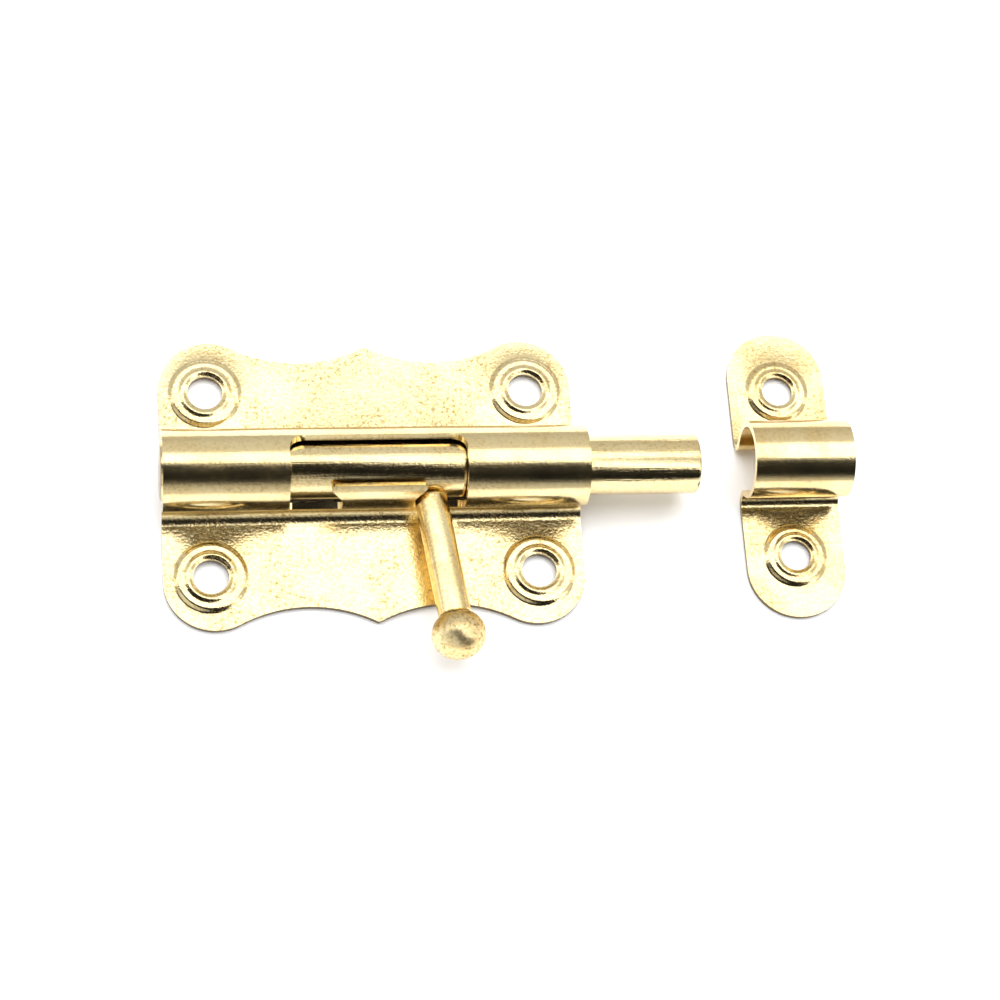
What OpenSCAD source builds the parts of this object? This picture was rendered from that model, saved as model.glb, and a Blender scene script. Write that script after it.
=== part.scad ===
// Stamped barrel bolt latch: a pressed case, a round bolt with a ball knob, and a separate pressed keeper.
// Frame: origin at the centre of the case's four screws, on the wall. +X is the way the bolt is thrown,
// +Y is up along the door, and +Z stands out of the wall.

/* [Sheet] */
// Thickness of the case's sheet
case_sheet = 0.8; // [0.5:0.05:1.2]
// Thickness of the keeper's sheet
keeper_sheet = 0.7; // [0.5:0.05:1.0]

/* [Bolt] */
// Diameter of the round bolt
rod_d = 7.2; // [5:0.1:9]
// Length of the bolt from its tail to its free end
rod_l = 64.1; // [60:0.5:80]
// How far the bolt's tail stands out behind the case when thrown
tail_out = 0.4; // [0:0.1:2]
// Chamfer on the bolt's ends
rod_chamfer = 0.4; // [0.1:0.1:1]
// Height of the bolt's axis above the wall
axis_h = 5.55; // [5.3:0.05:8]

/* [Case] */
// Length of the case along the bolt
plate_l = 50; // [46:1:70]
// Width of the case across its corner lobes
plate_w = 36.2; // [33:0.5:50]
// Radius of the four corner lobes
lobe_r = 6; // [5.5:0.25:7]
// Width of the case across the lowest points of its waists
waist_w = 30.9; // [27:0.5:32]
// Distance of each waist's lowest point from the middle of the case
waist_x = 8.2; // [7:0.2:10]
// Gap between the bolt and the barrel around it
barrel_gap = 0.43; // [0.2:0.05:0.8]
// Radius of the flare where the barrel turns out into the plate
foot_r = 1.45; // [1:0.05:1.8]

/* [Window] */
// Length of the window in the barrel
window_l = 20.8; // [18:0.2:26]
// Reach of the window past the barrel's crown, away from the knob
window_back = 2.7; // [2.5:0.1:3]
// Rounding of the window's two upper corners
window_r = 2; // [1:0.1:2.4]
// Rounding of the window's two lower corners
notch_r = 0.7; // [0.3:0.1:1]
// Gap between the resting stem and the window's floor
floor_gap = 0.1; // [0.05:0.05:0.5]

/* [Case screws] */
// Distance between the case's screws along the bolt
screw_dx = 38.9; // [36:0.1:60]
// Distance between the case's screws across the bolt
screw_dy = 23.2; // [21:0.1:40]
// Diameter of the case's screw holes
screw_d = 4.2; // [3:0.1:4.6]
// Outer diameter of the raised ring around each case screw
ring_d = 9; // [8.5:0.1:9.6]
// Height of the raised rings
ring_h = 0.55; // [0.2:0.05:0.9]

/* [Knob] */
// Diameter of the knob's stem
stem_d = 3.9; // [2.5:0.1:4.2]
// Diameter of the knob's ball
ball_d = 6.4; // [5:0.1:7]
// Length of the ball along the stem
ball_l = 5.9; // [4.6:0.1:7]
// Distance of the ball's centre from the bolt's axis, along the stem
ball_reach = 20.9; // [16:0.1:24]
// Place of the stem on the bolt's axis when thrown
stem_x = 5.78; // [3:0.02:7.5]
// Lean of the stem towards the bolt's free end
stem_lean = 7.6; // [0:0.2:9]
// Droop of the resting stem towards the wall
stem_droop = 0; // [0:0.5:4]
// Distance of the ball's flat seat from its centre
seat_reach = 2.48; // [2:0.02:2.6]
// Depth of the tenon past the ball's centre
tenon_past = 1.77; // [1:0.01:2]
// Gap between the stem's saddle foot and the bolt
saddle_gap = 0.03; // [0.02:0.01:0.1]
// Diameter of the tenon that holds the ball
tenon_d = 2.2; // [1.5:0.1:2.4]

/* [Keeper] */
// Length of the keeper across the bolt
keeper_w = 37; // [35:0.5:46]
// Width of the keeper along the bolt
keeper_l = 12.2; // [9.5:0.1:15]
// Gap between the bolt and the keeper's arch
keeper_gap = 0.38; // [0.2:0.02:0.6]
// Fillet where the arch's straight walls meet the keeper's tabs
keeper_foot_r = 0.6; // [0.3:0.1:1]
// Place of the keeper's middle along the bolt
keeper_x = 51.2; // [50:0.1:70]
// Offset of the loose keeper across the bolt
keeper_y = 0.4; // [0:0.05:1]
// Distance between the keeper's screws
keeper_dy = 21.5; // [20:0.1:25]
// Diameter of the keeper's screw holes
keeper_screw_d = 3.8; // [3:0.1:4.2]
// Outer diameter of the raised ring around each keeper screw
keeper_ring_d = 8.2; // [7.4:0.1:8.6]
// Height of the keeper's raised rings
keeper_ring_h = 0.5; // [0.2:0.05:0.8]

/* [Hidden] */
$fn = 96;
over = 1;                                  // cutters run this far past what they cut
bite = 0.02;                               // the flares cross the barrel and the sheet by this much
root = 0.08;                               // the keeper's fillets reach this far down into its sheet
brass = [0.86, 0.74, 0.47];

rod_r = rod_d / 2;
barrel_in = rod_r + barrel_gap;            // inner radius of the barrel
barrel_out = barrel_in + case_sheet;       // outer radius of the barrel
keeper_in = rod_r + keeper_gap;
keeper_out = keeper_in + keeper_sheet;
stem_r = stem_d / 2;
floor_h = axis_h - barrel_out * sin(stem_droop) - stem_r / cos(stem_droop) - floor_gap;

// The waist arc is tangent to the lobe, so its radius follows from the lobe and the waist's lowest point.
lobe_x = plate_l / 2 - lobe_r;
lobe_y = plate_w / 2 - lobe_r;
span = lobe_x - waist_x;
rise = waist_w / 2 - lobe_y;
waist_r = (span * span + rise * rise - lobe_r * lobe_r) / (2 * (lobe_r - rise));
waist_cy = waist_w / 2 + waist_r;
share = lobe_r / (lobe_r + waist_r);       // where the two arcs meet, between their centres
meet_x = lobe_x - span * share;
meet_y = lobe_y + (waist_cy - lobe_y) * share;

// Outline of the case: four lobes, straight ends, and two waists that meet in a point at the middle.
module case_outline() {
    difference() {
        union() {
            square([plate_l, 2 * lobe_y], center = true);
            for (sx = [-1, 1], sy = [-1, 1]) translate([sx * lobe_x, sy * lobe_y]) circle(lobe_r);
            polygon([[-meet_x, -meet_y], [-meet_x, meet_y], [0, meet_y + lobe_r],
                     [meet_x, meet_y], [meet_x, -meet_y], [0, -meet_y - lobe_r]]);
        }
        for (sx = [-1, 1], sy = [-1, 1]) translate([sx * waist_x, sy * waist_cy]) circle(waist_r);
    }
}

// Height of a raised ring's surface at radius r: zero at the hole and at the rim, full in the middle.
function swell(r, inner, outer, height) = height * (1 - cos(360 * (r - inner) / (outer - inner))) / 2;

// A ring pressed up out of a sheet, around a screw hole.
module pressed_ring(hole_d, outer_d, height, sheet) {
    inner = hole_d / 2;
    outer = outer_d / 2;
    steps = 10;
    radii = [for (i = [0:steps]) inner + (outer - inner) * i / steps];
    top = [for (r = radii) [r, sheet + swell(r, inner, outer, height)]];
    under = [for (i = [steps:-1:0]) [radii[i], swell(radii[i], inner, outer, height)]];
    rotate_extrude() polygon(concat(top, under));
}

// A sheet of the given outline, with a pressed ring at each place.
module pressed_sheet(places, hole_d, outer_d, height, sheet) {
    difference() {
        linear_extrude(sheet) children();
        for (p = places) translate([p.x, p.y, -over]) cylinder(d = outer_d, h = sheet + 2 * over);
    }
    for (p = places) translate(p) pressed_ring(hole_d, outer_d, height, sheet);
}

// Half the width of a barrel section at its foot, where its flares run out into the sheet.
function foot_half(outer, flare, sheet) = sqrt(pow(outer + flare, 2) - pow(sheet + flare - axis_h, 2));

// Section across the bolt: a round barrel that turns out into the sheet in a flare on each side.
module barrel_outside(outer, flare, sheet) {
    level = sheet + flare - axis_h;        // height of the flares' centres
    half = foot_half(outer, flare, sheet);
    circle(outer);
    difference() {
        translate([-half, -axis_h]) square([2 * half, axis_h + outer * level / (outer + flare)]);
        for (side = [-1, 1]) translate([side * half, level]) circle(flare + bite);
    }
}

// The hollow under that section, open at the wall side.
module barrel_inside(outer, flare, sheet) {
    level = sheet + flare - axis_h;
    half = foot_half(outer, flare, sheet);
    inner = outer - sheet;
    circle(inner);
    difference() {
        translate([-half, -axis_h - over]) square([2 * half, axis_h + over + inner * level / (outer + flare)]);
        for (side = [-1, 1]) translate([side * half, level]) circle(flare + sheet + bite);
    }
}

// Section of the keeper: an arch on two straight walls, with a fillet at each foot.
module arch_outside(radius, fillet, sheet) {
    circle(radius);
    translate([-radius, -axis_h]) square([2 * radius, axis_h]);
    for (side = [-1, 1]) difference() {
        translate([side * (radius + fillet / 2), sheet + (fillet - root) / 2 - axis_h])
            square([fillet, fillet + root], center = true);
        translate([side * (radius + fillet), sheet + fillet - axis_h]) circle(fillet);
    }
}

// The hollow under that section, open at the wall side.
module arch_inside(radius) {
    circle(radius);
    translate([-radius, -axis_h - over]) square([2 * radius, axis_h + over]);
}

// Sweeps a section, drawn as (y, z) about the bolt's axis, along X over the given length.
module along_bolt(length) {
    translate([-length / 2, 0, axis_h]) rotate([90, 0, 90]) linear_extrude(length) children();
}

// Opening in the barrel for the stem, from above the crown down to the window's floor.
module window_cut() {
    reach = window_back + barrel_out + over;
    translate([0, 0, axis_h]) linear_extrude(barrel_out + over) {
        translate([-window_l / 2, -barrel_out - over]) square([window_l, reach - window_r]);
        translate([-window_l / 2 + window_r, -barrel_out - over]) square([window_l - 2 * window_r, reach]);
        for (sx = [-1, 1]) translate([sx * (window_l / 2 - window_r), window_back - window_r]) circle(window_r);
    }
    rotate([90, 0, 0]) linear_extrude(barrel_out + over) {
        translate([-window_l / 2, floor_h + notch_r]) square([window_l, axis_h - floor_h]);
        translate([-window_l / 2 + notch_r, floor_h]) square([window_l - 2 * notch_r, axis_h - floor_h]);
        for (sx = [-1, 1]) translate([sx * (window_l / 2 - notch_r), floor_h + notch_r]) circle(notch_r);
    }
}

module case() {
    places = [for (sx = [-1, 1], sy = [-1, 1]) [sx * screw_dx / 2, sy * screw_dy / 2, 0]];
    color(brass) difference() {
        union() {
            pressed_sheet(places, screw_d, ring_d, ring_h, case_sheet) case_outline();
            along_bolt(plate_l) barrel_outside(barrel_out, foot_r, case_sheet);
        }
        along_bolt(plate_l + 2 * over) barrel_inside(barrel_out, foot_r, case_sheet);
        window_cut();
    }
}

// The round bolt, chamfered at both ends.
module bolt_rod() {
    tail_x = -plate_l / 2 - tail_out;
    color(brass) translate([tail_x, 0, axis_h]) rotate([0, 90, 0]) rotate_extrude()
        polygon([[0, 0], [rod_r - rod_chamfer, 0], [rod_r, rod_chamfer], [rod_r, rod_l - rod_chamfer],
                 [rod_r - rod_chamfer, rod_l], [0, rod_l]]);
}

// Places what is drawn along +Z onto the stem's line, with the bolt's axis at zero.
module on_stem() {
    translate([stem_x, 0, axis_h]) rotate([stem_droop, 0, 0]) rotate([90, 0, stem_lean]) children();
}

// The stem: a saddle foot that rides on the bolt, and a tenon that goes into the ball.
module knob_stem() {
    color(brass) difference() {
        on_stem() {
            cylinder(r = stem_r, h = ball_reach - seat_reach);
            cylinder(d = tenon_d, h = ball_reach + tenon_past);
        }
        translate([stem_x - rod_d, 0, axis_h]) rotate([0, 90, 0]) cylinder(r = rod_r + saddle_gap, h = 2 * rod_d);
    }
}

// The ball: a slightly flattened ball, flat where it seats on the stem's shoulder, bored for the tenon.
module knob_ball() {
    half_l = ball_l / 2;
    seat_angle = -asin(seat_reach / half_l);   // the flat seat starts at this latitude
    steps = 20;
    arc = [for (i = [0:steps]) let (a = seat_angle + (90 - seat_angle) * i / steps)
           [ball_d / 2 * cos(a), half_l * sin(a)]];
    color(brass) on_stem() translate([0, 0, ball_reach]) difference() {
        rotate_extrude() polygon(concat([[0, -seat_reach]], arc));
        translate([0, 0, -ball_l]) cylinder(d = tenon_d, h = ball_l + tenon_past);
    }
}

// Outline of the keeper: a strip with round ends.
module keeper_outline() {
    straight = keeper_w / 2 - keeper_l / 2;
    square([keeper_l, 2 * straight], center = true);
    for (side = [-1, 1]) translate([0, side * straight]) circle(keeper_l / 2);
}

module keeper() {
    places = [for (side = [-1, 1]) [0, side * keeper_dy / 2, 0]];
    color(brass) translate([keeper_x, keeper_y, 0]) difference() {
        union() {
            pressed_sheet(places, keeper_screw_d, keeper_ring_d, keeper_ring_h, keeper_sheet) keeper_outline();
            along_bolt(keeper_l) arch_outside(keeper_out, keeper_foot_r, keeper_sheet);
        }
        along_bolt(keeper_l + 2 * over) arch_inside(keeper_in);
    }
}

case();
bolt_rod();
knob_stem();
knob_ball();
keeper();
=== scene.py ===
# A small brass barrel bolt: a pressed case, a round bolt with a ball knob, and a loose pressed keeper.
import bpy, bmesh
from math import pi, sin, cos, asin, atan2, radians, hypot
from mathutils import Matrix, Vector


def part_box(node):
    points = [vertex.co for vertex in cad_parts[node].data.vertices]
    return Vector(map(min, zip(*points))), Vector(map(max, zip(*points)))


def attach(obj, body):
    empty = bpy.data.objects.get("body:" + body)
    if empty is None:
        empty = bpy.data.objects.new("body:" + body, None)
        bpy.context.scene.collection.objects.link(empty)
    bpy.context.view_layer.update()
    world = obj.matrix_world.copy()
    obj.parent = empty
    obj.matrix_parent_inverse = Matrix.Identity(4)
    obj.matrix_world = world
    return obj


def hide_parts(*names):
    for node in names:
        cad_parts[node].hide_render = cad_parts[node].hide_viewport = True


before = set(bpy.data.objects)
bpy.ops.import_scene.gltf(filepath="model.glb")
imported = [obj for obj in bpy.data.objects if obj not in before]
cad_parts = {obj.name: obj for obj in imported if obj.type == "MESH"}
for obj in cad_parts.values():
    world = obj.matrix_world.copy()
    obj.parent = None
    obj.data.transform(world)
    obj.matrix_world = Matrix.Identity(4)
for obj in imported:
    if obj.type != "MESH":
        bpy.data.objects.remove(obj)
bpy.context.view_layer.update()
mm = 0.001


def boxOf(node):  # a node's corners in millimetres
    low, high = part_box(node)
    return Vector(low) / mm, Vector(high) / mm


caseLow, caseHigh = boxOf("case")
rodLow, rodHigh = boxOf("bolt_rod")
keeperLow, keeperHigh = boxOf("keeper")
axisHeight = (rodLow.z + rodHigh.z) / 2
rodRadius = (rodHigh.z - rodLow.z) / 2
print("frame loaded, the bolt's axis is", round(axisHeight, 2), "mm above the wall")



class Wire:
    def __init__(self, tree, socket):
        self.tree = tree
        self.socket = socket

    def node(self, kind, settings=None, output=0, **inputs):  # any node, its settings, then its sockets
        made = self.tree.nodes.new(kind)
        for name, value in (settings or {}).items():
            if name == "stops":
                ramp = made.color_ramp.elements
                ramp[0].color, ramp[1].color = value[0][1], value[-1][1]
                for position, colour in value[1:-1]:
                    ramp.new(position).color = colour
            else:
                setattr(made, name, value)
        for name, value in inputs.items():
            self.plug(made.inputs[int(name[1:]) if name[1:].isdigit() else name.replace("_", " ")], value)
        return Wire(self.tree, made.outputs[output])

    def plug(self, target, value):
        if isinstance(value, Wire):
            self.tree.links.new(value.socket, target)
        else:
            target.default_value = value

    def sum(self, operation, first, second=None):
        ends = {"i0": first} if second is None else {"i0": first, "i1": second}
        return self.node("ShaderNodeMath", {"operation": operation}, **ends)

    def __add__(self, other):
        return self.sum("ADD", self, other)

    def __radd__(self, other):
        return self.sum("ADD", other, self)

    def __sub__(self, other):
        return self.sum("SUBTRACT", self, other)

    def __rsub__(self, other):
        return self.sum("SUBTRACT", other, self)

    def __mul__(self, other):
        return self.sum("MULTIPLY", self, other)

    def __rmul__(self, other):
        return self.sum("MULTIPLY", other, self)

    def clamp(self, low, high):  # 0 below low, 1 above high, smooth between
        return self.node("ShaderNodeMapRange", {"interpolation_type": "SMOOTHSTEP"},
                         Value=self, From_Min=low, From_Max=high)

    def mix(self, first, second):  # colours, by this factor
        return self.node("ShaderNodeMix", {"data_type": "RGBA"}, output=2, i0=self, i6=first, i7=second)



brass = dict(
    light=(0.88, 0.72, 0.39, 1),  # the bright plating
    deep=(0.82, 0.61, 0.28, 1),  # where it is thicker or tarnished
    patchSize=5.0,  # mm, of the slow changes of colour
    stain=(0.34, 0.23, 0.08, 1),  # specks in the plating
    glint=(0.95, 0.83, 0.52, 1),  # bright specks in the plating
    cut_edge_shade=(0.11, 0.07, 0.02, 1),  # bare cut edges, darkened to near black as painted shade
    depth=0.04,  # mm, of the relief
    pitSize=0.3,  # mm, of the orange peel
    grainSize=0.42,  # mm, of the specks
    scratchSize=0.12,  # mm, across the fine polishing lines
)


def metal(name, tint=0.5, rough=0.2, pits=0.3, lines=0.2, along=(1, 0, 0), speckle=0.4, flats=None, cut=None):
    material = bpy.data.materials.new(name)
    material.use_nodes = True
    tree = material.node_tree
    shader = tree.nodes["Principled BSDF"]
    place = Wire(tree, tree.nodes.new("ShaderNodeTexCoord").outputs["Object"])

    def noise(size, detail, stretch=(1, 1, 1), seed=0.0, roughness=0.5):
        spread = tuple(1 / (size * mm * part) for part in stretch)
        spot = place.node("ShaderNodeMapping", i0=place, Location=(seed, seed, seed), Scale=spread)
        return place.node("ShaderNodeTexNoise", Vector=spot, Scale=1.0, Detail=detail, Roughness=roughness)

    def part(vector, axis):
        split = place.node("ShaderNodeSeparateXYZ", i0=vector)
        return Wire(tree, split.socket.node.outputs[axis])

    patches = noise(brass["patchSize"], 3, seed=1.7)
    pitting = noise(brass["pitSize"], 2, seed=5.1)
    grains = noise(brass["grainSize"], 3, seed=9.3, roughness=0.6)
    longWay = tuple(40 if axis else 1 for axis in along)
    polish = noise(brass["scratchSize"], 2, stretch=longWay, seed=3.9)
    worn = patches.clamp(0.38, 0.62)
    coarse = 1.0
    if flats:  # the flanges keep the rolled sheet's grain, and the arch above them is drawn smooth
        coarse = flats + (1 - flats) * (1 - part(place, 2).clamp(1.3 * mm, 2.4 * mm))
    stains = grains.clamp(0.50, 0.66) * speckle * (0.45 + worn * 0.55) * coarse
    glints = (1 - grains.clamp(0.34, 0.47)) * speckle * 0.6 * coarse
    colour = (worn * tint).mix(brass["light"], brass["deep"])
    colour = stains.mix(colour, brass["stain"])
    colour = glints.mix(colour, brass["glint"])
    # painted shade: faces turned sideways on the sheet's rims and the bar's end faces are darkened towards near black
    if cut:
        facing = part(place.node("ShaderNodeNewGeometry", output=1), 0 if cut == "ends" else 2)
        facing = facing.sum("ABSOLUTE", facing)
        if cut == "ends":  # the sawn ends of a bar, darkened as painted shade
            cut_edge_shade = facing.clamp(0.2, 0.6)
        else:  # the sheared rim of a sheet, darkened as painted shade
            cut_edge_shade = (1 - facing.clamp(0.3, 0.8)) * (1 - part(place, 2).clamp(0.75 * mm, 0.85 * mm))
        colour = (cut_edge_shade * 0.85).mix(colour, brass["cut_edge_shade"])
    place.plug(shader.inputs["Base Color"], colour)
    place.plug(shader.inputs["Roughness"], rough + (patches - 0.5) * 0.12 + (polish - 0.5) * 0.10 + stains * 0.25)
    shader.inputs["Metallic"].default_value = 1.0
    height = ((pitting - 0.5) * pits + (grains - 0.5) * pits * 0.6) * coarse + (polish - 0.5) * lines
    bump = place.node("ShaderNodeBump", Height=height, Strength=1.0, Distance=brass["depth"] * mm)
    place.plug(shader.inputs["Normal"], bump)
    return material


sheetMetal = metal("pressed_brass", rough=0.15, pits=0.5, lines=0.10, speckle=0.7, flats=0.35, cut="rim")
keeperMetal = metal("keeper_brass", rough=0.15, pits=0.4, lines=0.10, speckle=0.6, tint=0.9, flats=0.35, cut="rim")
rodMetal = metal("bolt_brass", rough=0.12, pits=0.3, lines=0.35, speckle=0.35, cut="ends")
stemMetal = metal("stem_brass", rough=0.17, pits=0.3, lines=0.3, along=(0, 1, 0), speckle=0.35, tint=0.8)
ballMetal = metal("ball_brass", rough=0.32, pits=0.8, lines=0.1, speckle=0.9, tint=1.0)
print("finishes made")



def finish(bm, name, material, body, nodes, crease=32):
    bmesh.ops.scale(bm, vec=(mm, mm, mm), verts=bm.verts)
    mesh = bpy.data.meshes.new(name)
    bm.to_mesh(mesh)
    bm.free()
    mesh.shade_smooth()
    mesh.set_sharp_from_angle(angle=radians(crease))
    piece = bpy.data.objects.new(name, mesh)
    bpy.context.collection.objects.link(piece)
    mesh.materials.append(material)
    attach(piece, body)
    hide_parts(*nodes)
    return piece


def turned(bm, profile, steps=96):  # a solid of revolution about Z from (radius, height) points
    verts = [bm.verts.new((radius, 0, height)) for radius, height in profile]
    edges = [bm.edges.new(pair) for pair in zip(verts, verts[1:])]
    bmesh.ops.spin(bm, geom=verts + edges, cent=(0, 0, 0), axis=(0, 0, 1), angle=2 * pi, steps=steps, use_merge=True)
    bmesh.ops.remove_doubles(bm, verts=bm.verts, dist=1e-4)
    bmesh.ops.recalc_face_normals(bm, faces=bm.faces)


def arcPoints(centre, radius, start, stop, steps):
    turns = [radians(start + (stop - start) * step / steps) for step in range(steps + 1)]
    return [(centre[0] + radius * cos(turn), centre[1] + radius * sin(turn)) for turn in turns]



def unrolled(press):  # the flare's centre, and lengths along the blank from the crown outwards
    level = axisHeight - press["sheet"] - press["flare"]
    press["side"] = ((press["radius"] + press["flare"]) ** 2 - level ** 2) ** 0.5
    press["reach"] = pi / 2 + atan2(level, press["side"])  # how far round the barrel goes before it turns out
    press["flat"] = (press["radius"] + press["flare"]) * press["reach"]
    press["shift"] = press["flat"] - press["side"]  # blank length minus distance from the axis


def pressed(press, x, s):  # where a point of the blank lies on the pressed sheet's top
    side, a, radius, flare = (-1 if s > 0 else 1), abs(s), press["radius"], press["flare"]
    if a < radius * press["reach"]:
        return Vector((x, side * radius * sin(a / radius), axisHeight + radius * cos(a / radius)))
    if a < press["flat"]:
        turn = (press["flat"] - a) / flare
        return Vector((x, side * (press["side"] - flare * sin(turn)), press["sheet"] + flare * (1 - cos(turn))))
    return Vector((x, side * (a - press["shift"]), press["sheet"]))


def wireArc(bm, vert, centre, turn, steps):  # sweeps a vertex round a centre and gives the last one
    made = bmesh.ops.spin(bm, geom=[vert], cent=(*centre, 0), axis=(0, 0, 1), angle=turn, steps=steps)
    return [item for item in made["geom_last"] if isinstance(item, bmesh.types.BMVert)][0]


def wireLoop(bm, corners):  # a closed loop whose corners are (x, y, rounding)
    verts = [bm.verts.new((x, y, 0)) for x, y, _ in corners]
    for first, second in zip(verts, verts[1:] + verts[:1]):
        bm.edges.new((first, second))
    for vert, (_, _, rounding) in zip(verts, corners):
        if rounding:
            bmesh.ops.bevel(bm, geom=[vert], offset=rounding, offset_type="OFFSET", segments=8, profile=0.5,
                            affect="VERTICES", material=-1)


def smooth(value, low, high):  # 0 below low, 1 above high
    part = min(max((value - low) / (high - low), 0), 1)
    return part * part * (3 - 2 * part)


def ringHeight(ring, reach):  # a step up from the plate, a shoulder, and a lip that rolls into the hole
    step = ring["step"] * (1 - smooth(reach, ring["outer"] - ring["stepWidth"], ring["outer"]))
    lip = ring["lip"] * (1 - smooth(reach, ring["hole"] + ring["roll"], ring["hole"] + 2 * ring["roll"]))
    inside = ring["dip"] * (1 - smooth(reach, ring["hole"], ring["hole"] + ring["roll"]))
    return step + lip - inside


def makeSheet(bm, press, holes, ring, rows=0.32):
    bmesh.ops.remove_doubles(bm, verts=bm.verts, dist=1e-4)
    for x, s in holes:
        bmesh.ops.create_circle(bm, segments=ring["steps"], radius=ring["outer"],
                                matrix=Matrix.Translation((x, s, 0)))
    bmesh.ops.triangle_fill(bm, edges=bm.edges[:], use_beauty=True, normal=(0, 0, 1))
    count = int(press["flat"] / rows) + 1  # rows across the arch, so that it bends smoothly
    for step in range(-count, count + 1):
        plane = press["flat"] * step / count
        bmesh.ops.bisect_plane(bm, geom=bm.verts[:] + bm.edges[:] + bm.faces[:], dist=1e-5,
                               plane_co=(0, plane, 0), plane_no=(0, 1, 0))
    bmesh.ops.remove_doubles(bm, verts=bm.verts, dist=0.02)
    bending = press["flat"] + 0.01
    stray = [edge for edge in bm.edges if not edge.is_boundary
             and all(abs(vert.co.y) < bending for vert in edge.verts)
             and abs(edge.verts[0].co.y - edge.verts[1].co.y) > 0.01]
    bmesh.ops.dissolve_edges(bm, edges=stray, use_verts=False)
    for x, s in holes:
        loop = [edge for edge in bm.edges if edge.is_boundary and all(
            abs(hypot(vert.co.x - x, vert.co.y - s) - ring["outer"]) < 0.01 for vert in edge.verts)]
        for step in range(ring["bands"]):  # narrower and narrower circles down to the hole
            made = bmesh.ops.extrude_edge_only(bm, edges=loop)["geom"]
            verts = [item for item in made if isinstance(item, bmesh.types.BMVert)]
            loop = [item for item in made if isinstance(item, bmesh.types.BMEdge)
                    and all(vert in verts for vert in item.verts)]
            was = ring["outer"] - (ring["outer"] - ring["hole"]) * step / ring["bands"]
            now = ring["outer"] - (ring["outer"] - ring["hole"]) * (step + 1) / ring["bands"]
            bmesh.ops.scale(bm, vec=(now / was, now / was, 1), verts=verts, space=Matrix.Translation((-x, -s, 0)))
    bmesh.ops.recalc_face_normals(bm, faces=bm.faces)
    if sum(face.normal.z for face in bm.faces) < 0:
        bmesh.ops.reverse_faces(bm, faces=bm.faces)
    for vert in bm.verts:
        vert.co = pressed(press, vert.co.x, vert.co.y)
    bmesh.ops.reverse_faces(bm, faces=bm.faces)  # pressing mirrors the blank
    bm.normal_update()  # so that the sheet is as thick on the arch as on the flats
    bmesh.ops.solidify(bm, geom=bm.faces[:], thickness=press["sheet"])
    centres = [pressed(press, x, s) for x, s in holes]
    for vert in bm.verts:  # both faces rise together, so the rings are hollow underneath
        for centre in centres:
            vert.co.z += ringHeight(ring, hypot(vert.co.x - centre.x, vert.co.y - centre.y))
        vert.co.z = max(vert.co.z, 0)
    bmesh.ops.triangulate(bm, faces=[face for face in bm.faces if len(face.verts) > 4])
    if bm.calc_volume(signed=True) < 0:
        bmesh.ops.reverse_faces(bm, faces=bm.faces)


case = dict(
    sheet=0.8, radius=4.825, flare=1.45,
    length=caseHigh.x - caseLow.x, width=caseHigh.y - caseLow.y,
    lobe=6.0,  # radius of the corner lobes
    waistX=8.2, waistWidth=30.9,  # lowest point of each waist
    holeX=19.45, holeY=11.6,
    windowHalf=10.4, windowBack=34, windowRound=2.0, notchRound=0.7, notchHeight=3.5,
    tongueTop=44, tongueHalf=5.75, tongueBase=4.2, tongueNeck=17, tongueRound=0.45,
)
caseRing = dict(
    hole=2.1, outer=4.5, steps=72, bands=20,
    step=0.34, stepWidth=0.7, lip=0.16, roll=0.6, dip=0.2,
)


def makeCase():
    unrolled(case)
    bm = bmesh.new()
    shift = case["shift"]
    half = case["length"] / 2
    lobe = Vector((half - case["lobe"], case["width"] / 2 - case["lobe"] + shift))
    span, rise = lobe.x - case["waistX"], case["waistWidth"] / 2 + shift - lobe.y
    waistRadius = (span ** 2 + rise ** 2 - case["lobe"] ** 2) / (2 * (case["lobe"] - rise))
    waist = Vector((case["waistX"], case["waistWidth"] / 2 + shift + waistRadius))
    meet = atan2(waist.y - lobe.y, waist.x - lobe.x)  # direction from the lobe to the waist's centre
    tip = atan2(-(waistRadius ** 2 - waist.x ** 2) ** 0.5, -waist.x)
    middle = bm.verts.new((half, 0, 0))
    shoulder = bm.verts.new((half, lobe.y, 0))
    bm.edges.new((middle, shoulder))
    last = wireArc(bm, shoulder, lobe, meet, 22)
    wireArc(bm, last, waist, tip - (meet - pi), 20)
    bmesh.ops.mirror(bm, geom=bm.verts[:] + bm.edges[:], axis="X", merge_dist=1e-3)
    bmesh.ops.mirror(bm, geom=bm.verts[:] + bm.edges[:], axis="Y", merge_dist=1e-3)

    def along(degreesUp):  # blank length to a point on the arch, counted from the knob's side
        return radians(90 - degreesUp) * case["radius"]

    inside = case["radius"] - case["sheet"]  # the stem lies over the notch's inner edge
    floorS = (pi / 2 + asin((axisHeight - case["notchHeight"]) / inside)) * case["radius"]
    backS, half = -radians(case["windowBack"]) * case["radius"], case["windowHalf"]
    top, neck = along(case["tongueTop"]), along(case["tongueNeck"])
    wireLoop(bm, [
        (-half, backS, case["windowRound"]), (half, backS, case["windowRound"]),
        (half, floorS, case["notchRound"]), (case["tongueBase"], floorS, 0.3),
        (case["tongueBase"], neck, 0.6), (case["tongueHalf"], top + 0.5, case["tongueRound"]),
        (case["tongueHalf"] - 0.35, top, 0.3), (-case["tongueHalf"] + 0.35, top, 0.3),
        (-case["tongueHalf"], top + 0.5, case["tongueRound"]), (-case["tongueBase"], neck, 0.6),
        (-case["tongueBase"], floorS, 0.3), (-half, floorS, case["notchRound"])])
    holes = [(sx * case["holeX"], sy * (case["holeY"] + shift)) for sx in (-1, 1) for sy in (-1, 1)]
    makeSheet(bm, case, holes, caseRing)
    return finish(bm, "case_shell", sheetMetal, "case", ["case"])


keeper = dict(
    sheet=0.7, radius=(keeperHigh.z - axisHeight - 0.005), flare=1.2,
    length=keeperHigh.y - keeperLow.y, width=keeperHigh.x - keeperLow.x, holeY=10.75,
)
keeperRing = dict(
    hole=1.9, outer=4.1, steps=64, bands=18,
    step=0.34, stepWidth=0.8, lip=0.14, roll=0.55, dip=0.2,
)


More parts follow.
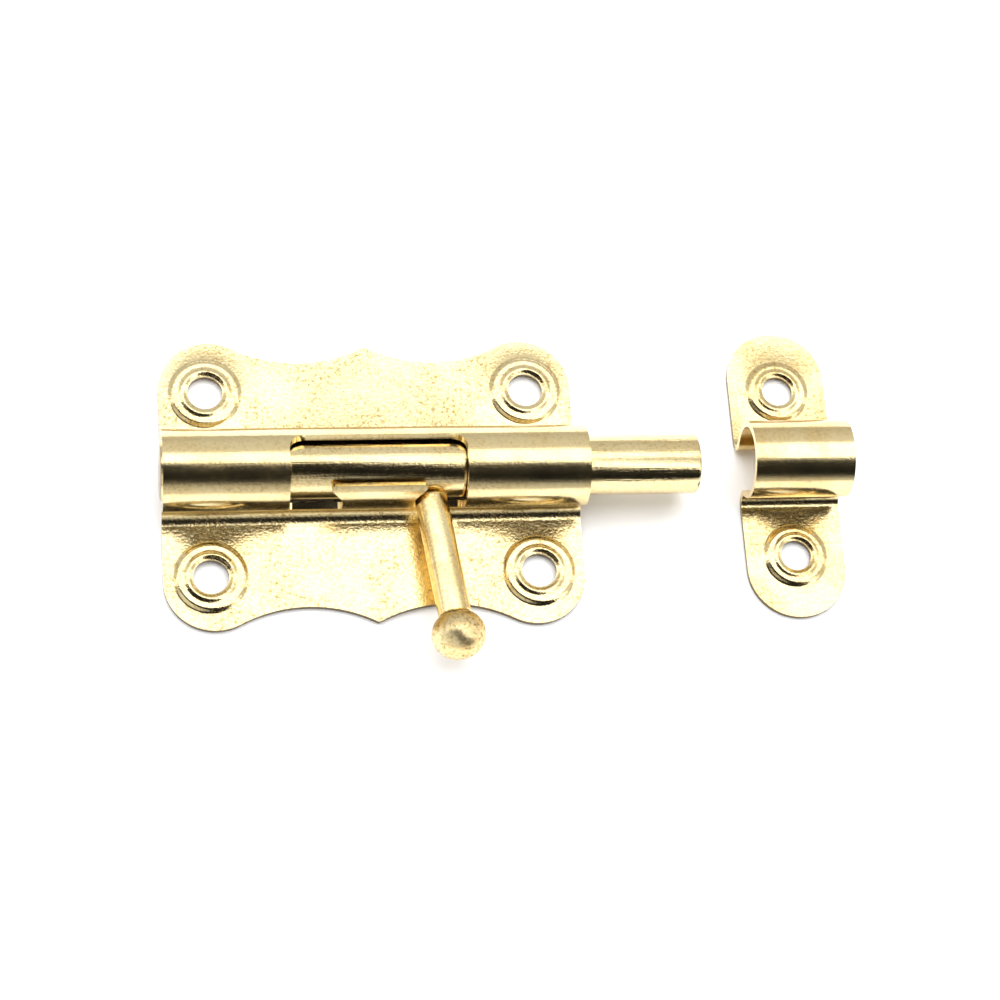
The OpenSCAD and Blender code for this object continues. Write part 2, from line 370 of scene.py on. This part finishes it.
def makeKeeper():
    unrolled(keeper)
    bm = bmesh.new()
    half = keeper["width"] / 2
    straight = keeper["length"] / 2 - half + keeper["shift"]
    middle = bm.verts.new((half, 0, 0))
    shoulder = bm.verts.new((half, straight, 0))
    bm.edges.new((middle, shoulder))
    wireArc(bm, shoulder, (0, straight), pi / 2, 24)
    bmesh.ops.mirror(bm, geom=bm.verts[:] + bm.edges[:], axis="X", merge_dist=1e-3)
    bmesh.ops.mirror(bm, geom=bm.verts[:] + bm.edges[:], axis="Y", merge_dist=1e-3)
    holes = [(0, side * (keeper["holeY"] + keeper["shift"])) for side in (-1, 1)]
    makeSheet(bm, keeper, holes, keeperRing)
    centre = (keeperLow + keeperHigh) / 2
    bmesh.ops.translate(bm, vec=(centre.x, centre.y, 0), verts=bm.verts)
    return finish(bm, "keeper_strap", keeperMetal, "keeper", ["keeper"])


makeCase()
print("case pressed")
makeKeeper()
print("keeper pressed")


rod = dict(chamfer=0.35, dome=0.12)


def makeRod():
    bm = bmesh.new()
    length = rodHigh.x - rodLow.x
    cut, dome = rod["chamfer"], rod["dome"]
    turned(bm, [(0, 0), (rodRadius - cut - 0.3, dome * 0.6), (rodRadius - cut, dome), (rodRadius - cut * 0.3, cut * 0.6),
                (rodRadius, cut + dome), (rodRadius, length - cut - 0.05), (rodRadius - cut * 0.3, length - cut * 0.45),
                (rodRadius - cut, length - 0.04), (rodRadius - cut - 0.15, length), (0, length)], steps=128)
    bmesh.ops.rotate(bm, verts=bm.verts, cent=(0, 0, 0), matrix=Matrix.Rotation(pi / 2, 3, "Y"))
    bmesh.ops.translate(bm, verts=bm.verts, vec=(rodLow.x, 0, axisHeight))
    return finish(bm, "bolt_bar", rodMetal, "bolt", ["bolt_rod"], crease=28)


knob = dict(
    stemX=5.78, lean=7.6, radius=1.95, reach=20.9, ballRadius=3.19, ballLength=5.88,
    footHeight=3.63, shoulder=0.5,
)


def onStem(bm):  # turns what was made along Z onto the stem's line
    bmesh.ops.rotate(bm, verts=bm.verts, cent=(0, 0, 0),
                     matrix=Matrix.Rotation(radians(knob["lean"]), 3, "Z") @ Matrix.Rotation(pi / 2, 3, "X"))
    bmesh.ops.translate(bm, verts=bm.verts, vec=(knob["stemX"], 0, axisHeight))


def makeStem():
    bm = bmesh.new()
    radius, soft = knob["radius"], knob["shoulder"]
    seat = knob["reach"] - knob["ballLength"] * 0.42
    bend = arcPoints((radius - soft, knob["footHeight"] + soft), soft, -90, 0, 6)
    turned(bm, [(0, knob["footHeight"])] + bend + [(radius, seat - 0.12), (radius - 0.12, seat), (0, seat)], steps=72)
    onStem(bm)
    return finish(bm, "knob_stem_bar", stemMetal, "knob", ["knob_stem"], crease=40)


def makeBall():
    bm = bmesh.new()
    wide, tall = knob["ballRadius"], knob["ballLength"] / 2
    seat = -knob["ballLength"] * 0.42
    bands = [(wide * cos(radians(turn)), tall * sin(radians(turn))) for turn in range(-57, 88, 6)]
    turned(bm, [(0, seat)] + bands + [(0, tall)], steps=96)
    bmesh.ops.translate(bm, verts=bm.verts, vec=(0, 0, knob["reach"]))
    onStem(bm)
    return finish(bm, "knob_ball_turned", ballMetal, "knob", ["knob_ball"], crease=40)


makeRod()
makeStem()
makeBall()
print("bolt, stem and ball turned")


studio = dict(
    floorSize=1.2, floorShade=0.9, tentGlow=2.35, tentLean=0.42, tentShift=0.034, panelWatts=10.0, panelSize=1.1, panelPlace=(0.02, 0.35, 0.5), panelTilt=-35,
    cameraPlace=(-34.88, -105.755, 284.838), cameraAim=(0.16406, 0.33684, -0.92716),
    cameraRight=(0.98632, -0.07112, 0.14869), lens=91.81,
)


def makeFloor():
    bpy.ops.mesh.primitive_plane_add(size=studio["floorSize"], location=(0, 0, 0))
    floor = bpy.context.object
    floor.name = "floor"
    material = bpy.data.materials.new("floor_paint")
    material.use_nodes = True
    shader = material.node_tree.nodes["Principled BSDF"]
    shader.inputs["Base Color"].default_value = (*[studio["floorShade"]] * 3, 1)
    shader.inputs["Roughness"].default_value = 0.9
    shader.inputs["Specular IOR Level"].default_value = 0.0
    floor.data.materials.append(material)


def makeTent():  # a light tent: bright overhead, dark behind the camera, pale low down
    world = bpy.data.worlds.new("tent")
    bpy.context.scene.world = world
    world.use_nodes = True
    tree = world.node_tree
    way = Wire(tree, tree.nodes.new("ShaderNodeTexCoord").outputs["Generated"])
    split = way.node("ShaderNodeSeparateXYZ", i0=way)
    x = Wire(tree, split.socket.node.outputs[0])
    y = Wire(tree, split.socket.node.outputs[1])
    z = Wire(tree, split.socket.node.outputs[2])
    turn = way.sum("ARCTAN2", z, way.sum("MULTIPLY", y, -1.0)) * (1 / pi)  # 0 front, 0.5 overhead, 1 back
    turn = turn + x * studio["tentLean"] * (1 - turn.clamp(0.5, 0.58)) - studio["tentShift"]

    def grey(level):
        return (level, level, level, 1)

    glow = turn.node("ShaderNodeValToRGB", {"stops": [
        (0.0, grey(0.38)), (0.08, grey(0.27)), (0.13, grey(0.21)), (0.18, grey(0.02)),
        (0.24, grey(0.002)), (0.42, grey(0.012)), (0.47, grey(0.03)), (0.495, grey(1.0)), (0.605, grey(1.0)),
        (0.635, grey(0.36)), (0.80, grey(0.31)), (1.0, grey(0.22))]}, i0=turn)
    back = tree.nodes["Background"]
    way.plug(back.inputs["Color"], glow)
    back.inputs["Strength"].default_value = studio["tentGlow"]
    lamp = bpy.data.lights.new("ceiling_panel", "AREA")  # whitens the floor, and doesn't show in the metal
    lamp.size, lamp.energy = studio["panelSize"], studio["panelWatts"]
    panel = bpy.data.objects.new("ceiling_panel", lamp)
    panel.location = studio["panelPlace"]
    panel.rotation_euler = (radians(studio["panelTilt"]), 0, 0)
    panel.visible_glossy = False
    bpy.context.collection.objects.link(panel)


def makeCamera():
    camera = bpy.data.objects.new("camera", bpy.data.cameras.new("camera"))
    bpy.context.collection.objects.link(camera)
    back = -Vector(studio["cameraAim"]).normalized()
    right = Vector(studio["cameraRight"]).normalized()
    look = Matrix((right, back.cross(right), back)).transposed()
    camera.matrix_world = Matrix.Translation(Vector(studio["cameraPlace"]) * mm) @ look.to_4x4()
    camera.data.lens = studio["lens"]
    camera.data.clip_start = 0.01
    bpy.context.scene.camera = camera
    return camera


makeFloor()
makeTent()
makeCamera()
bpy.context.scene.view_settings.view_transform = "Standard"
print("floor, light and camera placed")

bpy.context.view_layer.update()
